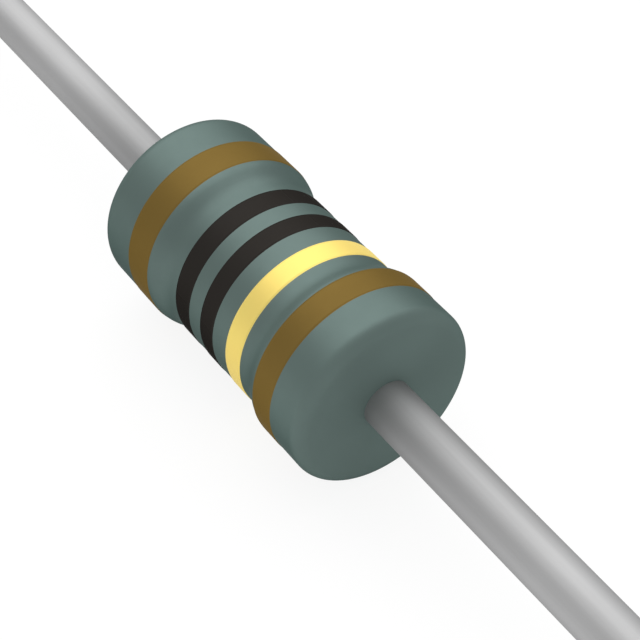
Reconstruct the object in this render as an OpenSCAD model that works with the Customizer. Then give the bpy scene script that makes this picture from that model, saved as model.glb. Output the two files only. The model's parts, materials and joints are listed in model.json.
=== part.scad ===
// Metal film axial resistor of the 3.4 x 1.9 mm size, cut free from 26 mm tape.
// Lengths run along X from the middle of the body. The first-digit band is at -X
// and the tolerance band at +X. All sizes are in millimetres.

/* [Lacquer body] */
// Length of the lacquered body over both end faces
body_len = 3.4; // [3.3:0.05:4.2]
// Diameter over the bulges that cover the end caps
bulge_d = 1.9; // [1.85:0.05:2.2]
// How far the narrower middle lies below the bulges
waist_step = 0.08; // [0.07:0.005:0.12]
// Length of the straight middle between the two shoulders
waist_len = 1.28; // [0.9:0.02:1.4]
// How far the straight middle sits towards the tolerance end
waist_shift = 0.085; // [-0.1:0.005:0.1]
// Steepest slope of the shoulders, in degrees
shoulder_angle = 24; // [20:1:28]
// Radius where a shoulder rounds over onto its bulge
shoulder_crest_r = 0.26; // [0.15:0.01:0.28]
// Radius where a shoulder runs out into the middle
shoulder_foot_r = 0.35; // [0.2:0.01:0.4]
// Radius of the rounded edge of each end face
end_edge_r = 0.13; // [0.05:0.01:0.15]
// Thickness of the lacquer round the end caps
cap_cover = 0.18; // [0.1:0.01:0.25]
// Thickness of the lacquer over the closed end of each cap
end_cover = 0.2; // [0.15:0.01:0.3]

/* [Leads] */
// Diameter of the tinned wire
lead_d = 0.48; // [0.4:0.01:0.6]
// Length of wire that stands out of each end of the body
lead_len = 11.3; // [6:0.1:28]
// Bevel that the cutter leaves round the tip of a lead
lead_tip_bevel = 0.03; // [0.01:0.01:0.06]
// Diameter of the upset wire end where it is welded to the cap
weld_d = 0.7; // [0.62:0.01:0.8]
// Length over which the wire flares out to the weld
weld_len = 0.1; // [0.05:0.01:0.12]

/* [Ceramic core and film] */
// Rounding of the rod's end edges
core_edge_r = 0.06; // [0.02:0.01:0.1]
// Thickness of the resistive film
film_t = 0.02; // [0.015:0.005:0.04]
// Width of the groove that the trimming laser cuts through the film
groove_w = 0.06; // [0.04:0.01:0.09]
// Turns of the trimming groove
groove_turns = 5; // [2:1:7]
// Uncut film between each cap's skirt and the groove
groove_margin = 0.25; // [0.1:0.01:0.5]

/* [End caps] */
// Thickness of the pressed steel
cap_wall = 0.15; // [0.1:0.01:0.17]
// Length of a cap over its closed end
cap_len = 0.6; // [0.45:0.01:0.7]
// Outside radius of the bend between the end and the skirt
cap_bend_r = 0.12; // [0.05:0.01:0.16]

/* [Colour bands] */
// Thickness of the printed paint
paint_t = 0.012; // [0.01:0.002:0.02]
// Distance from the end face to the first-digit band
first_band_inset = 0.505; // [0.4:0.005:0.6]
// Width of the first-digit band
first_band_w = 0.35; // [0.2:0.01:0.4]
// Middle of the second-digit band
second_band_x = -0.336; // [-0.36:0.002:-0.3]
// Width of the second-digit band
second_band_w = 0.24; // [0.15:0.01:0.26]
// Middle of the third-digit band
third_band_x = 0.083; // [0.02:0.001:0.1]
// Width of the third-digit band
third_band_w = 0.218; // [0.15:0.002:0.24]
// Middle of the multiplier band
multiplier_band_x = 0.532; // [0.48:0.002:0.55]
// Width of the multiplier band
multiplier_band_w = 0.24; // [0.15:0.01:0.26]
// Distance from the end face to the tolerance band
tolerance_band_inset = 0.437; // [0.35:0.001:0.5]
// Width of the tolerance band
tolerance_band_w = 0.288; // [0.2:0.002:0.32]

/* [Hidden] */
$fn = 96;

LEFT = -1;
RIGHT = 1;

// Radii, from the lacquer inwards.
bulge_r = bulge_d / 2;
waist_r = bulge_r - waist_step;
cap_r = bulge_r - cap_cover;
film_r = cap_r - cap_wall;
core_r = film_r - film_t;
weld_r = weld_d / 2;
lead_r = lead_d / 2;

// Half lengths, counted outwards from the middle of the body.
body_half = body_len / 2;
cap_face = body_half - end_cover;
cap_skirt = cap_face - cap_len;
core_half = cap_face - cap_wall;
groove_half = cap_skirt - groove_margin;
lead_tip = body_half + lead_len;

// A shoulder is a foot arc, a short straight cone and a crest arc, all tangent.
foot_rise = shoulder_foot_r * (1 - cos(shoulder_angle));
crest_rise = shoulder_crest_r * (1 - cos(shoulder_angle));
cone_len = (waist_step - foot_rise - crest_rise) / sin(shoulder_angle);
shoulder_len = (shoulder_foot_r + shoulder_crest_r) * sin(shoulder_angle)
    + cone_len * cos(shoulder_angle);

first_band_x = first_band_inset + first_band_w / 2 - body_half;
tolerance_band_x = body_half - tolerance_band_inset - tolerance_band_w / 2;

LACQUER = [0.38, 0.45, 0.43];
BROWN = [0.44, 0.36, 0.19];
BLACK = [0.18, 0.17, 0.16];
GOLD = [0.9, 0.77, 0.42];
TIN = [0.72, 0.72, 0.73];
STEEL = [0.62, 0.62, 0.6];
ALUMINA = [0.93, 0.92, 0.88];
FILM = [0.35, 0.33, 0.31];

// Revolves a half outline, drawn with X as radius and Y as length, round the X axis.
module along_x() {
    rotate([0, 90, 0]) rotate_extrude() children();
}

// Turns a half outline that is drawn outwards from the middle to its own side.
module towards(side) {
    if (side == LEFT) mirror([0, 1]) children();
    else children();
}

// Strip from the axis out to r, with its outer corner at the far end rounded.
module rounded_strip(r, from, to, edge_r) {
    translate([0, from]) square([r, to - edge_r - from]);
    translate([0, from]) square([r - edge_r, to - from]);
    translate([r - edge_r, to - edge_r]) circle(r = edge_r);
}

// Where the straight middle ends, counted outwards from the middle of the body.
function waist_end(side) = waist_len / 2 + side * waist_shift;

// Centre of the hollow arc at a shoulder's foot, and of the round one at its crest.
function foot_centre(side) = [waist_r + shoulder_foot_r, waist_end(side)];
function crest_centre(side) = [bulge_r - shoulder_crest_r, waist_end(side) + shoulder_len];

// Corners of one end's half outline, from the shoulder's foot to the end face's edge.
function end_corners(side, grow) =
    let (foot = foot_centre(side), crest = crest_centre(side), edge_y = body_half - end_edge_r,
        slope = [cos(shoulder_angle), -sin(shoulder_angle)])
    [for (p = [
        [waist_r + grow, foot.y],
        foot - (shoulder_foot_r - grow) * slope,
        crest + (shoulder_crest_r + grow) * slope,
        [bulge_r + grow, crest.y],
        [bulge_r + grow, edge_y],
        [0, edge_y]
    ]) [p.x, side * p.y]];

// Half outline of the whole body, a dumbbell whose waist sits off the middle. grow is
// added square to its surface.
module body_outline(grow = 0) {
    left = end_corners(LEFT, grow);
    difference() {
        union() {
            polygon(concat([for (i = [len(left) - 1 : -1 : 0]) left[i]], end_corners(RIGHT, grow)));
            for (side = [LEFT, RIGHT]) towards(side) {
                translate(crest_centre(side)) circle(r = shoulder_crest_r + grow);
                rounded_strip(bulge_r + grow, crest_centre(side).y, body_half + grow, end_edge_r + grow);
            }
        }
        for (side = [LEFT, RIGHT]) towards(side) {
            translate(foot_centre(side)) circle(r = shoulder_foot_r - grow);
        }
    }
}

// Half outline of a cap filled in, skirt edge inwards and closed end outwards.
module cap_block_outline() {
    rounded_strip(cap_r, cap_skirt, cap_face, cap_bend_r);
}

// Half outline of a lead from the weld on the cap to the cut tip.
module lead_outline() {
    polygon([
        [0, cap_face],
        [weld_r, cap_face],
        [lead_r, cap_face + weld_len],
        [lead_r, lead_tip - lead_tip_bevel],
        [lead_r - lead_tip_bevel, lead_tip],
        [0, lead_tip]
    ]);
}

// Lacquer coat, a dumbbell outside and closed round the working parts inside.
module coating() {
    color(LACQUER) along_x() difference() {
        body_outline();
        for (side = [LEFT, RIGHT]) towards(side) {
            square([film_r, core_half]);
            cap_block_outline();
            lead_outline();
        }
    }
}

// Ceramic rod with softened end edges.
module ceramic_core() {
    color(ALUMINA) along_x() for (side = [LEFT, RIGHT]) {
        towards(side) rounded_strip(core_r, 0, core_half, core_edge_r);
    }
}

// What the laser takes away: a square bar swept round a helix on the film.
module trimming_cut() {
    steps = 32;
    rings = groove_turns * steps;
    pitch = 2 * groove_half / groove_turns;
    bar = [for (r = [core_r - film_t, film_r + film_t], x = [-groove_w / 2, groove_w / 2]) [x, r]];
    corners = [bar[0], bar[2], bar[3], bar[1]];
    points = [for (i = [0 : rings], p = corners) let (turn = 360 * i / steps)
        [p.x + pitch * i / steps - groove_half, p.y * sin(turn), p.y * cos(turn)]];
    walls = [for (i = [0 : rings - 1], k = [0 : 3]) let (next = (k + 1) % 4)
        [4 * i + next, 4 * i + k, 4 * i + 4 + k, 4 * i + 4 + next]];
    ends = [[0, 1, 2, 3], [for (k = [3 : -1 : 0]) 4 * rings + k]];
    polyhedron(points, concat(walls, ends));
}

// Resistive film on the rod, parted into one long helical track by the laser's cut.
module resistive_film() {
    color(FILM) difference() {
        along_x() translate([core_r, -core_half]) square([film_t, 2 * core_half]);
        trimming_cut();
    }
}

// Pressed cap that grips the end of the filmed rod.
module end_cap(side) {
    color(STEEL) along_x() towards(side) difference() {
        cap_block_outline();
        square([film_r, core_half]);
    }
}

// Wire that is welded to the cap's face.
module lead(side) {
    color(TIN) along_x() towards(side) lead_outline();
}

// Ring of paint that lies on the lacquer and follows its outline.
module band(middle, width, paint) {
    color(paint) along_x() difference() {
        intersection() {
            body_outline(paint_t);
            translate([0, middle - width / 2]) square([bulge_d, width]);
        }
        body_outline();
    }
}

coating();
ceramic_core();
resistive_film();
end_cap(LEFT);  // end_cap_left
end_cap(RIGHT);  // end_cap_right
lead(LEFT);  // lead_left
lead(RIGHT);  // lead_right
band(first_band_x, first_band_w, BROWN);  // first_digit_band
band(second_band_x, second_band_w, BLACK);  // second_digit_band
band(third_band_x, third_band_w, BLACK);  // third_digit_band
band(multiplier_band_x, multiplier_band_w, GOLD);  // multiplier_band
band(tolerance_band_x, tolerance_band_w, BROWN);  // tolerance_band
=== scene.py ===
"""Small axial resistor on a white table: lacquered body, painted rings and tinned leads."""
import json
import math

import bmesh
import bpy
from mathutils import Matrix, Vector


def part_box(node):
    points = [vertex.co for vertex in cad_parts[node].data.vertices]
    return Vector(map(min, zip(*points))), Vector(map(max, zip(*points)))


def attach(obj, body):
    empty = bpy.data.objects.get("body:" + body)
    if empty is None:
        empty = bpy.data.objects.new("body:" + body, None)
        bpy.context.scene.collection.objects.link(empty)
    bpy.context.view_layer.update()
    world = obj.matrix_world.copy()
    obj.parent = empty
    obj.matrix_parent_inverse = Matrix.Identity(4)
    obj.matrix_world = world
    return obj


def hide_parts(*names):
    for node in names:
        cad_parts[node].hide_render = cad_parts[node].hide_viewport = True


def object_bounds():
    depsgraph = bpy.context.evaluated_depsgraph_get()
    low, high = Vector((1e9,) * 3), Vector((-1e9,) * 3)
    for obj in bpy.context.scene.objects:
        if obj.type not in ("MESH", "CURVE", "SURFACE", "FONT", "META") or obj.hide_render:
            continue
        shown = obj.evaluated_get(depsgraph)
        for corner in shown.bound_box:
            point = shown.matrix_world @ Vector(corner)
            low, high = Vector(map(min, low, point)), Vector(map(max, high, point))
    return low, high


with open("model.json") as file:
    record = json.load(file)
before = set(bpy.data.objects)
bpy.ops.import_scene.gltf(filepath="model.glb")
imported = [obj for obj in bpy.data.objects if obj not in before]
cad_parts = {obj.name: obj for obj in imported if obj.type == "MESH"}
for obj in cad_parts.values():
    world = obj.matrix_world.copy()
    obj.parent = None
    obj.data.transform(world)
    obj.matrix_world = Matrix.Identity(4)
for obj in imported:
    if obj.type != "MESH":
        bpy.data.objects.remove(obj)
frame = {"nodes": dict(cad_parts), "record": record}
cad_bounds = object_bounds()

MM = 0.001

# Lacquer body, in millimetres, as far as the frame's boxes don't give it
WAIST_STEP = 0.08
WAIST_LEN = 1.28
WAIST_SHIFT = 0.085
SHOULDER_ANGLE = math.radians(24)
SHOULDER_CREST_R = 0.26
SHOULDER_FOOT_R = 0.35
END_EDGE_R = 0.13

# Hollow inside the lacquer, in millimetres
WELD_LEN = 0.1
CAP_BEND_R = 0.12

# Wire and paint, in millimetres
LEAD_TIP_BEVEL = 0.03
PAINT_LIFT = 0.005
PAINT_EDGE = 0.02

# Stretch over which the painted shade on the wire next to the body fades out, in millimetres from
# the end face
PAINTED_SHADE_FROM = 0.3
PAINTED_SHADE_TO = 2.3

# How finely the round pieces are turned, with steps in millimetres
SIDES = 160
ARC_STEPS = 14
BARREL_STEP = 0.0125
PAINT_STEP = BARREL_STEP / 4
FACE_STEP = 0.05
WIRE_STEP = 0.25
SHARP_ANGLE = math.radians(30)

# Camera, from the photograph's perspective, with lengths in millimetres
AZIMUTH = math.radians(55.54)
ELEVATION = math.radians(44.12)
DISTANCE = 16.6704
BODY_LEFT_OF_CENTRE = 0.3734
BODY_ABOVE_CENTRE = 0.2473
LENS = 99.66
NEAREST_SEEN = 1
FARTHEST_SEEN = 10000

# Studio, with lengths in metres
ROOM_LIGHT = 0.595
SOFTBOX_AZIMUTH = AZIMUTH + math.radians(189)
SOFTBOX_ELEVATION = math.radians(54)
SOFTBOX_DISTANCE = 0.25
SOFTBOX_WIDTH = 0.43
SOFTBOX_RADIANCE = 1.08
FLOOR_WIDTH = 1.2
FLOOR_WHITE = 0.92
FLOOR_GLOW = 1.06
FLOOR_GLOW_SHARE = 0.83

# Colours and sheen of the finishes
LACQUER = (0.154, 0.210, 0.196)
BROWN = (0.215, 0.140, 0.038)
BLACK = (0.035, 0.0315, 0.0285)
GOLD = (1.0, 0.785, 0.22)
TIN = (0.526, 0.526, 0.528)
TIN_EDGE = 0.2
# Painted shade on the wire next to the body, and the tin's lighter tone away from it, as factors
# of TIN
PAINTED_SHADE_FACTOR = 0.79
UNSHADED_TIN_FACTOR = 1.095
STEEL = (0.4, 0.4, 0.39)
ALUMINA = (0.85, 0.83, 0.77)
METAL_FILM = (0.1, 0.09, 0.08)

# Grain of the finishes: waves per millimetre along X, Y and Z, and depths in millimetres
CLOUD = (1.1, 1.1, 1.1)
ORANGE_PEEL = (8, 8, 8)
ORANGE_PEEL_DEPTH = 0.001
TIN_CLOUD = (1.5, 4, 4)
DRAWN_LINES = (0.4, 30, 30)
DRAWN_LINES_DEPTH = 0.0004
PLATING = (12, 12, 12)
SANDINESS = (25, 25, 25)
SANDINESS_DEPTH = 0.002
SANDINESS_DETAIL = 4

# Sockets of a Mix node that mixes colours
MIX_SHARE = 0
MIX_FIRST = 6
MIX_SECOND = 7
MIX_RESULT = 2


def reach(node):
    """Largest distance of a CAD node from the axis, in millimetres."""
    return max(math.hypot(v.co.y, v.co.z) for v in frame["nodes"][node].data.vertices) / MM


def span(node):
    """Where a CAD node starts and ends along the axis, in millimetres."""
    low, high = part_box(node)
    return low.x / MM, high.x / MM


BODY_HALF = span("coating")[1]
BULGE_R = reach("coating")
WAIST_R = BULGE_R - WAIST_STEP
CAP_SKIRT, CAP_FACE = span("end_cap_right")
CAP_R = reach("end_cap_right")
FILM_R = reach("resistive_film")
WELD_R = reach("lead_right")
LEAD_TIP = span("lead_right")[1]
LEAD_R = frame["record"]["mounts"][1]["dims"]["r_mm"]

FOOT_LEN = SHOULDER_FOOT_R * math.sin(SHOULDER_ANGLE)
FOOT_RISE = SHOULDER_FOOT_R * (1 - math.cos(SHOULDER_ANGLE))
CREST_LEN = SHOULDER_CREST_R * math.sin(SHOULDER_ANGLE)
CREST_RISE = SHOULDER_CREST_R * (1 - math.cos(SHOULDER_ANGLE))
CONE_LEN = (WAIST_STEP - FOOT_RISE - CREST_RISE) / math.tan(SHOULDER_ANGLE)
SHOULDER_LEN = FOOT_LEN + CONE_LEN + CREST_LEN


def skin(x, lift=0.0):
    """Point on the lacquer's outline at x, moved square to the surface by lift."""
    side = 1 if x > WAIST_SHIFT else -1
    out = side * (x - WAIST_SHIFT) - WAIST_LEN / 2
    if out <= 0:
        radius, lean = WAIST_R, 0.0
    elif out <= FOOT_LEN:
        lean = math.asin(out / SHOULDER_FOOT_R)
        radius = WAIST_R + SHOULDER_FOOT_R * (1 - math.cos(lean))
    elif out <= FOOT_LEN + CONE_LEN:
        lean = SHOULDER_ANGLE
        radius = WAIST_R + FOOT_RISE + (out - FOOT_LEN) * math.tan(SHOULDER_ANGLE)
    elif out <= SHOULDER_LEN:
        lean = math.asin((SHOULDER_LEN - out) / SHOULDER_CREST_R)
        radius = BULGE_R - SHOULDER_CREST_R * (1 - math.cos(lean))
    else:
        radius, lean = BULGE_R, 0.0
    return x - side * lift * math.sin(lean), radius + lift * math.cos(lean)


def steps(start, end, pitch):
    """Evenly spaced places from start to end, both included, no more than pitch apart."""
    count = max(1, math.ceil(abs(end - start) / pitch))
    return [start + (end - start) * i / count for i in range(count + 1)]


def arc(centre, radius, start, end):
    """Points on an arc, with angles in degrees from +X towards the outside."""
    turns = [math.radians(start + (end - start) * i / ARC_STEPS) for i in range(ARC_STEPS + 1)]
    return [(centre[0] + radius * math.cos(a), centre[1] + radius * math.sin(a)) for a in turns]


def mirrored(points):
    """The same points on the other side of the middle, in the opposite order."""
    return [(-x, r) for x, r in reversed(points)]


def turned(name, outline, closed=True):
    """Solid of revolution about X. An outline that isn't closed starts and ends on the axis."""
    shape = bmesh.new()
    turns = [2 * math.pi * i / SIDES for i in range(SIDES)]
    circle = [(math.sin(a), math.cos(a)) for a in turns]
    rings = []
    for x, r in outline:
        if r == 0:
            rings.append([shape.verts.new((x * MM, 0, 0))] * SIDES)
        else:
            rings.append([shape.verts.new((x * MM, r * MM * y, r * MM * z)) for y, z in circle])
    following = rings[1:] + (rings[:1] if closed else [])
    for ring, after in zip(rings, following):
        for i in range(SIDES):
            k = (i + 1) % SIDES
            shape.faces.new(list(dict.fromkeys([ring[i], ring[k], after[k], after[i]])))
    bmesh.ops.recalc_face_normals(shape, faces=shape.faces)
    mesh = bpy.data.meshes.new(name)
    shape.to_mesh(mesh)
    shape.free()
    mesh.shade_smooth()
    mesh.set_sharp_from_angle(angle=SHARP_ANGLE)
    piece = bpy.data.objects.new(name, mesh)
    bpy.context.scene.collection.objects.link(piece)
    return piece


def coat_outline():
    """Closed section of the lacquer: the skin from left to right, then the hollow back."""
    edge_x = BODY_HALF - END_EDGE_R
    right_end = [
        *arc((edge_x, BULGE_R - END_EDGE_R), END_EDGE_R, 90, 0),
        *[(BODY_HALF, r) for r in steps(BULGE_R - END_EDGE_R, LEAD_R, FACE_STEP)[1:]],
        (CAP_FACE + WELD_LEN, LEAD_R),
        (CAP_FACE, WELD_R),
        *arc((CAP_FACE - CAP_BEND_R, CAP_R - CAP_BEND_R), CAP_BEND_R, 0, 90),
        (CAP_SKIRT, CAP_R),
        (CAP_SKIRT, FILM_R),
    ]
    barrel = [skin(x) for x in steps(-edge_x, edge_x, BARREL_STEP)[1:-1]]
    return barrel + right_end + mirrored(right_end)


def band_outline(node):
    """Closed section of a ring of paint whose edges ease down to the lacquer."""
    start, end = span(node)
    places = steps(start, end, PAINT_STEP)
    outer = []
    for x in places:
        inset = min(x - start, end - x, PAINT_EDGE) / PAINT_EDGE
        outer.append(skin(x, PAINT_LIFT * inset * inset * (3 - 2 * inset)))
    return outer + [skin(x) for x in reversed(places[1:-1])]


def lead_outline():
    """Section of the right lead from the weld on its cap to the cut tip."""
    return [
        (CAP_FACE, 0),
        (CAP_FACE, WELD_R),
        (CAP_FACE + WELD_LEN, LEAD_R),
        *[(x, LEAD_R) for x in steps(BODY_HALF, LEAD_TIP - LEAD_TIP_BEVEL, WIRE_STEP)],
        (LEAD_TIP, LEAD_R - LEAD_TIP_BEVEL),
        (LEAD_TIP, 0),
    ]


class Value:
    """A socket that carries one number, so that shader maths reads as plain arithmetic."""

    def __init__(self, finish, socket):
        self.finish = finish
        self.socket = socket

    def joined(self, operation, *terms):
        node = self.finish.add("ShaderNodeMath", {"operation": operation}, dict(enumerate(terms)))
        return Value(self.finish, node.outputs[0])

    def __abs__(self):
        return self.joined("ABSOLUTE", self)

    def __add__(self, other):
        return self.joined("ADD", self, other)

    def __radd__(self, other):
        return self.joined("ADD", other, self)

    def __sub__(self, other):
        return self.joined("SUBTRACT", self, other)

    def __rsub__(self, other):
        return self.joined("SUBTRACT", other, self)

    def __mul__(self, other):
        return self.joined("MULTIPLY", self, other)

    def __rmul__(self, other):
        return self.joined("MULTIPLY", other, self)


class Finish:
    """A material that is put together node by node round one Principled shader."""

    def __init__(self, name, colour):
        self.material = bpy.data.materials.new(name)
        self.material.use_nodes = True
        self.material.diffuse_color = (*colour, 1)
        self.tree = self.material.node_tree
        self.tree.nodes.clear()
        self.shader = self.add("ShaderNodeBsdfPrincipled")
        self.output = self.add("ShaderNodeOutputMaterial", {}, {"Surface": self.shader.outputs[0]})
        self.place = self.add("ShaderNodeTexCoord").outputs["Object"]

    def add(self, kind, settings=None, sockets=None):
        """One node: its settings first, then the values or links of its sockets."""
        node = self.tree.nodes.new(kind)
        for name, value in (settings or {}).items():
            setattr(node, name, value)
        self.feed(node, sockets or {})
        return node

    def feed(self, node, sockets):
        """Links or sets a node's sockets, which go by name or number."""
        for key, value in sockets.items():
            if isinstance(value, Value):
                self.tree.links.new(value.socket, node.inputs[key])
            elif isinstance(value, bpy.types.NodeSocket):
                self.tree.links.new(value, node.inputs[key])
            else:
                node.inputs[key].default_value = value

    def grain(self, waves_per_mm, detail=2.0):
        """Noise round 0.5, with its own number of waves per millimetre along X, Y and Z."""
        scale = [waves / MM for waves in waves_per_mm]
        place = self.add("ShaderNodeMapping", {}, {"Vector": self.place, "Scale": scale})
        sockets = {"Vector": place.outputs[0], "Scale": 1, "Detail": detail}
        return Value(self, self.add("ShaderNodeTexNoise", {}, sockets).outputs["Fac"])

    def between(self, colour, other, share):
        """Colour that goes from one to the other with share."""
        sockets = {MIX_SHARE: share, MIX_FIRST: (*colour, 1), MIX_SECOND: (*other, 1)}
        return self.add("ShaderNodeMix", {"data_type": "RGBA"}, sockets).outputs[MIX_RESULT]

    def away(self, start, full):
        """0 up to start from the middle, then rising to 1 at full, both in millimetres along X."""
        apart = self.add("ShaderNodeSeparateXYZ", {}, {0: self.place})
        distance = abs(Value(self, apart.outputs["X"]))
        sockets = {"Value": distance, "From Min": start * MM, "From Max": full * MM}
        return Value(self, self.add("ShaderNodeMapRange", {}, sockets).outputs[0])

    def bumped(self, height, depth):
        """Normal of a surface whose height from 0 to 1 stands for depth in millimetres."""
        sockets = {"Height": height, "Distance": depth * MM, "Strength": 1}
        return self.add("ShaderNodeBump", {}, sockets).outputs[0]


def shade(colour, factor):
    """The same colour, lighter or darker."""
    return tuple(c * factor for c in colour)


def grey(level):
    """Even grey for a colour socket."""
    return (level, level, level, 1)


def uneven(middle, swing, grain):
    """Number that wanders with a grain by half of swing to either side of its middle."""
    return middle + swing * (grain - 0.5)


def paint(name, colour, metallic, edge, end_metallic=None):
    """Satin paint or lacquer with a faint cloudiness and a fine orange peel. Its sheen has the
    paint's own colour, and edge says how much of it is left at a grazing angle. With
    end_metallic the sheen is another one on the body's end faces."""
    finish = Finish(name, colour)
    cloud = finish.grain(CLOUD)
    peel = finish.grain(ORANGE_PEEL)
    if end_metallic is not None:
        end = finish.away(BODY_HALF - END_EDGE_R, BODY_HALF)
        metallic = metallic + (end_metallic - metallic) * end
    finish.feed(finish.shader, {
        "Base Color": finish.between(shade(colour, 0.9), shade(colour, 1.1), cloud),
        "Roughness": uneven(0.5, 0.08, peel),
        "Metallic": metallic,
        "Specular IOR Level": 0.0,
        "Specular Tint": grey(edge),
        "Normal": finish.bumped(peel, ORANGE_PEEL_DEPTH),
    })
    return finish.material


def tinned_wire():
    """Satin tin on drawn wire, with faint lines along it. Next to the body its colour is darkened
    by painted shade.
    """
    finish = Finish("tinned wire", TIN)
    lines = finish.grain(DRAWN_LINES)
    cloud = finish.grain(TIN_CLOUD)
    # Painted shade: the tin's colour darkens towards the body and clears further out
    clear = finish.away(BODY_HALF + PAINTED_SHADE_FROM, BODY_HALF + PAINTED_SHADE_TO)
    painted_shade_tin = shade(TIN, PAINTED_SHADE_FACTOR)
    unshaded_tin = shade(TIN, UNSHADED_TIN_FACTOR)
    finish.feed(finish.shader, {
        "Base Color": finish.between(painted_shade_tin, unshaded_tin, 0.8 * clear + 0.2 * cloud),
        "Roughness": uneven(0.64, 0.1, lines),
        "Metallic": 1.0,
        "Specular Tint": grey(TIN_EDGE),
        "Normal": finish.bumped(lines, DRAWN_LINES_DEPTH),
    })
    return finish.material


def plated_steel():
    """Tin-plated pressed steel of the end caps."""
    finish = Finish("tin plated steel", STEEL)
    grain = finish.grain(PLATING)
    finish.feed(finish.shader, {
        "Base Color": finish.between(shade(STEEL, 0.9), shade(STEEL, 1.05), grain),
        "Roughness": uneven(0.35, 0.15, grain),
        "Metallic": 1.0,
    })
    return finish.material


def fired_ceramic():
    """Matt, slightly sandy alumina of the rod."""
    finish = Finish("fired alumina", ALUMINA)
    grain = finish.grain(SANDINESS, SANDINESS_DETAIL)
    finish.feed(finish.shader, {
        "Base Color": finish.between(shade(ALUMINA, 0.93), shade(ALUMINA, 1.03), grain),
        "Roughness": uneven(0.7, 0.1, grain),
        "Normal": finish.bumped(grain, SANDINESS_DEPTH),
    })
    return finish.material


def sputtered_film():
    """Dull metal film that follows the ceramic's grain."""
    finish = Finish("sputtered metal film", METAL_FILM)
    grain = finish.grain(SANDINESS, SANDINESS_DETAIL)
    finish.feed(finish.shader, {
        "Base Color": finish.between(shade(METAL_FILM, 0.85), shade(METAL_FILM, 1.15), grain),
        "Roughness": uneven(0.45, 0.1, grain),
        "Metallic": 0.9,
        "Normal": finish.bumped(grain, SANDINESS_DEPTH),
    })
    return finish.material


def placed(piece, node, material):
    """Puts a turned piece in the place of its CAD node."""
    piece.data.materials.append(material)
    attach(piece, "root")
    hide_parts(node)


def dressed(node, material):
    """Gives a CAD node that stays as it is its own finish."""
    mesh = frame["nodes"][node].data
    mesh.materials.clear()
    mesh.materials.append(material)


def direction(azimuth, elevation):
    """Unit vector from the part at these angles, with azimuth counted from -Y towards +X."""
    level = math.cos(elevation)
    return Vector((math.sin(azimuth) * level, -math.cos(azimuth) * level, math.sin(elevation)))


def camera():
    """The photograph's view, with the body a little up and left of the picture's centre."""
    back = direction(AZIMUTH, ELEVATION)
    right = Vector((math.cos(AZIMUTH), math.sin(AZIMUTH), 0))
    up = back.cross(right)
    data = bpy.data.cameras.new("camera")
    data.lens = LENS
    data.clip_start = NEAREST_SEEN * MM
    data.clip_end = FARTHEST_SEEN * MM
    stand = bpy.data.objects.new("camera", data)
    aside = BODY_LEFT_OF_CENTRE * right - BODY_ABOVE_CENTRE * up
    stand.location = (aside + DISTANCE * back) * MM
    stand.rotation_mode = "QUATERNION"
    stand.rotation_quaternion = back.to_track_quat("Z", "Y")
    bpy.context.scene.collection.objects.link(stand)
    bpy.context.scene.camera = stand


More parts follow.
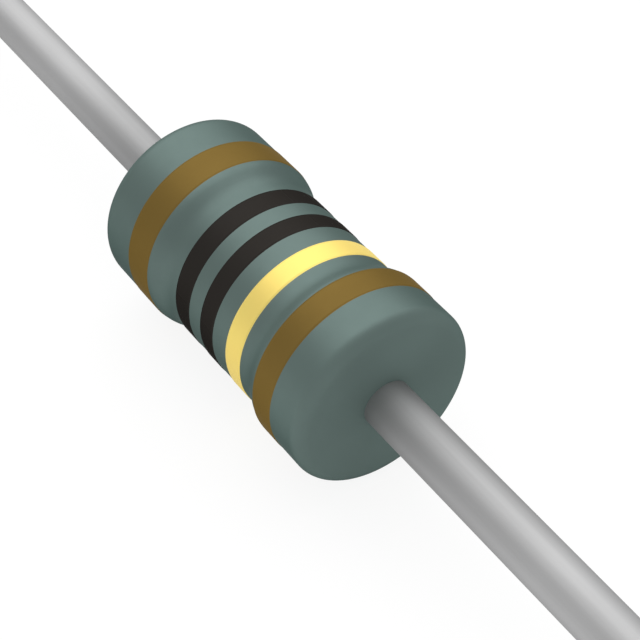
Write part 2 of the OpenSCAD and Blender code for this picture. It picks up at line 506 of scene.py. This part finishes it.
def table():
    """White table that the part lies on. The camera sees it white, with the part's shadow faint
    on it, and reflections show it plain white."""
    low = cad_bounds[0].z
    shape = bmesh.new()
    bmesh.ops.create_grid(shape, x_segments=1, y_segments=1, size=FLOOR_WIDTH / 2)
    bmesh.ops.translate(shape, verts=shape.verts, vec=(0, 0, low))
    mesh = bpy.data.meshes.new("table")
    shape.to_mesh(mesh)
    shape.free()
    floor = bpy.data.objects.new("table", mesh)
    bpy.context.scene.collection.objects.link(floor)
    white = grey(FLOOR_WHITE)
    finish = Finish("white table", white[:3])
    finish.feed(finish.shader, {"Base Color": white, "Roughness": 0.9, "Specular IOR Level": 0.0})
    path = finish.add("ShaderNodeLightPath")
    seen = FLOOR_GLOW_SHARE * Value(finish, path.outputs["Is Camera Ray"])
    for ray in ("Is Glossy Ray", "Is Transmission Ray"):
        seen = seen + Value(finish, path.outputs[ray])
    glow = finish.add("ShaderNodeEmission", {}, {"Color": grey(1), "Strength": FLOOR_GLOW})
    mix = finish.add("ShaderNodeMixShader", {}, {
        0: seen,
        1: finish.shader.outputs[0],
        2: glow.outputs[0],
    })
    finish.feed(finish.output, {"Surface": mix.outputs[0]})
    mesh.materials.append(finish.material)


def lights():
    """Even light from the room and one large softbox, high behind the far end."""
    world = bpy.data.worlds.new("room")
    world.use_nodes = True
    world.node_tree.nodes["Background"].inputs["Color"].default_value = grey(ROOM_LIGHT)
    bpy.context.scene.world = world

    aim = direction(SOFTBOX_AZIMUTH, SOFTBOX_ELEVATION)
    data = bpy.data.lights.new("softbox", "AREA")
    data.shape = "DISK"
    data.size = SOFTBOX_WIDTH
    disk_area = math.pi * SOFTBOX_WIDTH ** 2 / 4
    data.energy = SOFTBOX_RADIANCE * math.pi * disk_area
    lamp = bpy.data.objects.new("softbox", data)
    lamp.location = aim * SOFTBOX_DISTANCE
    lamp.rotation_mode = "QUATERNION"
    lamp.rotation_quaternion = aim.to_track_quat("Z", "Y")
    bpy.context.scene.collection.objects.link(lamp)


camera()
table()
lights()

lacquer = paint("grey-green lacquer", LACQUER, metallic=0.78, edge=0.23, end_metallic=0.17)
brown_paint = paint("brown paint", BROWN, metallic=0.55, edge=0.44)
black_paint = paint("black paint", BLACK, metallic=0.46, edge=0.22)
gold_paint = paint("gold paint", GOLD, metallic=0.65, edge=0.76)
wire = tinned_wire()
cap_steel = plated_steel()

placed(turned("lacquer_coat", coat_outline()), "coating", lacquer)
for node, slot, material in (
    ("first_digit_band", "brown_paint", brown_paint),
    ("second_digit_band", "black_paint", black_paint),
    ("third_digit_band", "black_paint", black_paint),
    ("multiplier_band", "gold_paint", gold_paint),
    ("tolerance_band", "brown_paint", brown_paint),
):
    placed(turned(node + "_ring", band_outline(node)), node, material)
left_wire = turned("lead_left_wire", mirrored(lead_outline()), closed=False)
right_wire = turned("lead_right_wire", lead_outline(), closed=False)
placed(left_wire, "lead_left", wire)
placed(right_wire, "lead_right", wire)

dressed("ceramic_core", fired_ceramic())
dressed("resistive_film", sputtered_film())
dressed("end_cap_left", cap_steel)
dressed("end_cap_right", cap_steel)

bpy.context.scene.view_settings.view_transform = "Standard"
